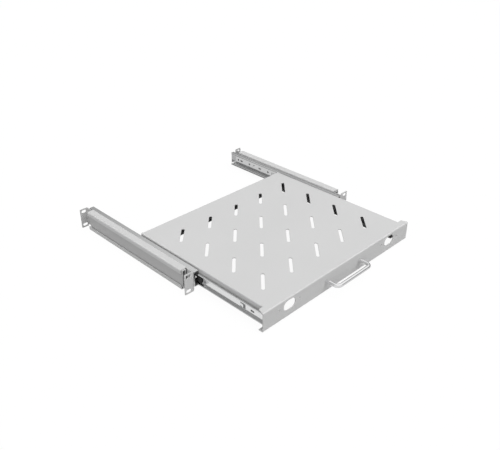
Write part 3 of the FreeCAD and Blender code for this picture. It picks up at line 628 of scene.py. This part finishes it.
low, high = (Vector(corner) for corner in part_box("handle"))
wire = (high.z - low.z) / 2
middle = low.z + wire
reach = wire + BEND_RADIUS
straight = high.y - low.y - wire - BEND_RADIUS
bow = bmesh.new()
ring = bmesh.ops.create_circle(bow, segments=40, radius=wire)["verts"]
bmesh.ops.rotate(bow, verts=ring, cent=(0.0, 0.0, 0.0), matrix=Matrix.Rotation(math.pi / 2, 3, "X"))
bmesh.ops.translate(bow, verts=ring, vec=(low.x + wire, high.y, middle))
end = run_on(bow, bow.edges[:], (0.0, -straight, 0.0))
end = bend_on(bow, end, (low.x + reach, low.y + reach, middle))
end = run_on(bow, end, (high.x - low.x - 2 * reach, 0.0, 0.0))
end = bend_on(bow, end, (high.x - reach, low.y + reach, middle))
run_on(bow, end, (0.0, straight, 0.0))
open_ends = [edge for edge in bow.edges if edge.is_boundary]
feet = bmesh.ops.holes_fill(bow, edges=open_ends, sides=0)["faces"]
bmesh.ops.inset_individual(bow, faces=feet, thickness=wire - TAPPED_RADIUS, use_even_offset=True)
bores = bmesh.ops.extrude_discrete_faces(bow, faces=feet)["faces"]
bore_points = [point for face in bores for point in face.verts]
bmesh.ops.translate(bow, verts=bore_points, vec=(0.0, -TAPPED_DEPTH, 0.0))
nickel = bright_nickel()
put_in("wire_bow", bow, nickel, "handle", "shelf")

low, high = (Vector(corner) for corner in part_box("handle_screws"))
length = high.y - low.y
screw = turned_shape(screw_profile(length, HANDLE_HEAD_HEIGHT, HANDLE_HEAD, HANDLE_HEAD_FLAT))
cross_recess(screw, length, **HANDLE_RECESS)
turn = Matrix.Rotation(-math.pi / 2, 4, "X")
places = [Matrix.Translation((foot, low.y, (low.z + high.z) / 2)) @ turn
          for foot in (low.x + HANDLE_HEAD_RADIUS, high.x - HANDLE_HEAD_RADIUS)]
put_in("handle_pan_head_screws", copies(screw, places), fastener_zinc, "handle_screws",
       "shelf")


# Floor: a wide pale sheet just under the channels. The camera sees it nearly white with the object's shadow
# left on it. Shiny metal sees more of that shadow, and a painted shadow under the shelf and to its right.
FLOOR_HEIGHT = -0.0226
FLOOR_HALF_WIDTH = 8.0
FLOOR_GREY = 0.32
FLOOR_GLOW = 1.10
WHITE_TO_CAMERA = 0.87
WHITE_TO_METAL_LEFT = 0.82
WHITE_TO_METAL_IN_PAINTED_SHADOW = 0.55


def combine(tree, operation, first, second):
    """A node that works out one value from two."""
    node = tree.nodes.new("ShaderNodeMath")
    node.operation = operation
    tree.links.new(first, node.inputs[0])
    tree.links.new(second, node.inputs[1])
    return node


def seen_rays(tree, rays):
    """A mask of the rays that look at a surface: camera, mirror and see-through rays."""
    mirror = combine(tree, "ADD", rays.outputs["Is Glossy Ray"], rays.outputs["Is Transmission Ray"])
    seen = combine(tree, "ADD", rays.outputs["Is Camera Ray"], mirror.outputs[0])
    seen.use_clamp = True
    return seen.outputs[0]


floor_mesh = bpy.data.meshes.new("pale_floor")
sheet = bmesh.new()
bmesh.ops.create_grid(sheet, x_segments=1, y_segments=1, size=FLOOR_HALF_WIDTH)
bmesh.ops.translate(sheet, verts=sheet.verts, vec=(0.0, 0.0, FLOOR_HEIGHT))
sheet.to_mesh(floor_mesh)
sheet.free()
floor = bpy.data.objects.new("pale_floor", floor_mesh)
bpy.context.scene.collection.objects.link(floor)
floor_finish = bpy.data.materials.new("pale_floor")
floor_finish.use_nodes = True
tree = floor_finish.node_tree
tree.nodes.clear()
rays = tree.nodes.new("ShaderNodeLightPath")
spot = tree.nodes.new("ShaderNodeTexCoord")
across = tree.nodes.new("ShaderNodeSeparateXYZ")
tree.links.new(spot.outputs["Object"], across.inputs[0])
# Painted shadow: to metal, the floor right of X = -0.12 is set less white than left of X = -0.20.
painted_shadow_to_metal = ramp(tree, across.outputs["X"], starts=-0.20, ends=-0.12, low=WHITE_TO_METAL_LEFT,
                high=WHITE_TO_METAL_IN_PAINTED_SHADOW)
whiteness = ramp(tree, rays.outputs["Is Glossy Ray"], starts=0.0, ends=1.0, low=WHITE_TO_CAMERA, high=1.0)
tree.links.new(painted_shadow_to_metal.outputs["Result"], whiteness.inputs["To Max"])
share = combine(tree, "MULTIPLY", seen_rays(tree, rays), whiteness.outputs["Result"])
matt = tree.nodes.new("ShaderNodeBsdfDiffuse")
matt.inputs["Color"].default_value = (FLOOR_GREY, FLOOR_GREY, FLOOR_GREY, 1.0)
white = tree.nodes.new("ShaderNodeEmission")
white.inputs["Strength"].default_value = FLOOR_GLOW
both = tree.nodes.new("ShaderNodeMixShader")
out = tree.nodes.new("ShaderNodeOutputMaterial")
tree.links.new(share.outputs[0], both.inputs["Fac"])
tree.links.new(matt.outputs[0], both.inputs[1])
tree.links.new(white.outputs[0], both.inputs[2])
tree.links.new(both.outputs[0], out.inputs["Surface"])
floor_mesh.materials.append(floor_finish)


# Light: an even grey surround, a wide soft lamp above the front and a weaker one from the left front. The
# camera sees a white backdrop. Shiny metal sees it too, with a darker studio wall low down behind the
# shelf and to its left.
SURROUND_STRENGTH = 0.37
# Left and front as the camera sees them.
LEFT = (-0.7, 0.7, 0.0)
FRONT = (-0.7, -0.7, 0.0)
LAMPS = (
    {"name": "soft_lamp", "energy": 1.93, "spread": 50.0, "way": (-0.07, 0.374, -0.925)},
    {"name": "fill_lamp", "energy": 1.12, "spread": 60.0, "way": (0.70, 0.54, -0.46)},
)


def share_towards(tree, direction, way):
    """How far a direction points one way."""
    node = tree.nodes.new("ShaderNodeVectorMath")
    node.operation = "DOT_PRODUCT"
    node.inputs[1].default_value = way
    tree.links.new(direction, node.inputs[0])
    return node.outputs["Value"]


world = bpy.data.worlds.new("studio")
bpy.context.scene.world = world
world.use_nodes = True
tree = world.node_tree
tree.nodes.clear()
direction = tree.nodes.new("ShaderNodeTexCoord").outputs["Generated"]
parts = tree.nodes.new("ShaderNodeSeparateXYZ")
tree.links.new(direction, parts.inputs[0])
wall = ramp(tree, parts.outputs["Z"], starts=0.30, ends=0.64, low=0.10, high=1.0)
left = ramp(tree, share_towards(tree, direction, LEFT), starts=0.1, ends=0.6, low=1.0, high=0.45)
front = ramp(tree, share_towards(tree, direction, FRONT), starts=-0.2, ends=0.3, low=0.0, high=0.75)
dimmed = combine(tree, "MULTIPLY", wall.outputs["Result"], left.outputs["Result"])
brighter = combine(tree, "MAXIMUM", dimmed.outputs[0], front.outputs["Result"])
rays = tree.nodes.new("ShaderNodeLightPath")
mirrored = tree.nodes.new("ShaderNodeMix")
mirrored.inputs["A"].default_value = 1.0
surround = tree.nodes.new("ShaderNodeBackground")
surround.inputs["Color"].default_value = (1.0, 1.0, 1.0, 1.0)
surround.inputs["Strength"].default_value = SURROUND_STRENGTH
backdrop = tree.nodes.new("ShaderNodeBackground")
backdrop.inputs["Color"].default_value = (1.0, 1.0, 1.0, 1.0)
both = tree.nodes.new("ShaderNodeMixShader")
out = tree.nodes.new("ShaderNodeOutputWorld")
tree.links.new(rays.outputs["Is Glossy Ray"], mirrored.inputs["Factor"])
tree.links.new(brighter.outputs[0], mirrored.inputs["B"])
tree.links.new(mirrored.outputs["Result"], backdrop.inputs["Strength"])
tree.links.new(seen_rays(tree, rays), both.inputs["Fac"])
tree.links.new(surround.outputs[0], both.inputs[1])
tree.links.new(backdrop.outputs[0], both.inputs[2])
tree.links.new(both.outputs[0], out.inputs["Surface"])

for setting in LAMPS:
    lamp = bpy.data.lights.new(setting["name"], "SUN")
    lamp.angle = math.radians(setting["spread"])
    lamp.energy = setting["energy"]
    lamp_holder = bpy.data.objects.new(setting["name"], lamp)
    lamp_holder.rotation_euler = Vector(setting["way"]).to_track_quat("-Z", "Y").to_euler()
    lamp_holder.visible_glossy = False
    bpy.context.scene.collection.objects.link(lamp_holder)


# Camera: at the photograph's place. Its place, turn and lens were fitted to the straight edges of the shelf
# in the photograph.
CAMERA_PLACE = (-0.8217, -0.7457, 0.6741)
CAMERA_TURN = math.radians(-45.132)
CAMERA_TILT = math.radians(90.0 - 30.158)
CAMERA_ROLL = math.radians(0.155)

camera_data = bpy.data.cameras.new("photo_camera")
camera_data.sensor_width = 36.0
camera_data.lens = 45.17
camera = bpy.data.objects.new("photo_camera", camera_data)
camera.matrix_world = (
    Matrix.Translation(CAMERA_PLACE)
    @ Matrix.Rotation(CAMERA_TURN, 4, "Z")
    @ Matrix.Rotation(CAMERA_TILT, 4, "X")
    @ Matrix.Rotation(CAMERA_ROLL, 4, "Z")
)
bpy.context.scene.collection.objects.link(camera)
bpy.context.scene.camera = camera
bpy.context.scene.view_settings.view_transform = "Standard"
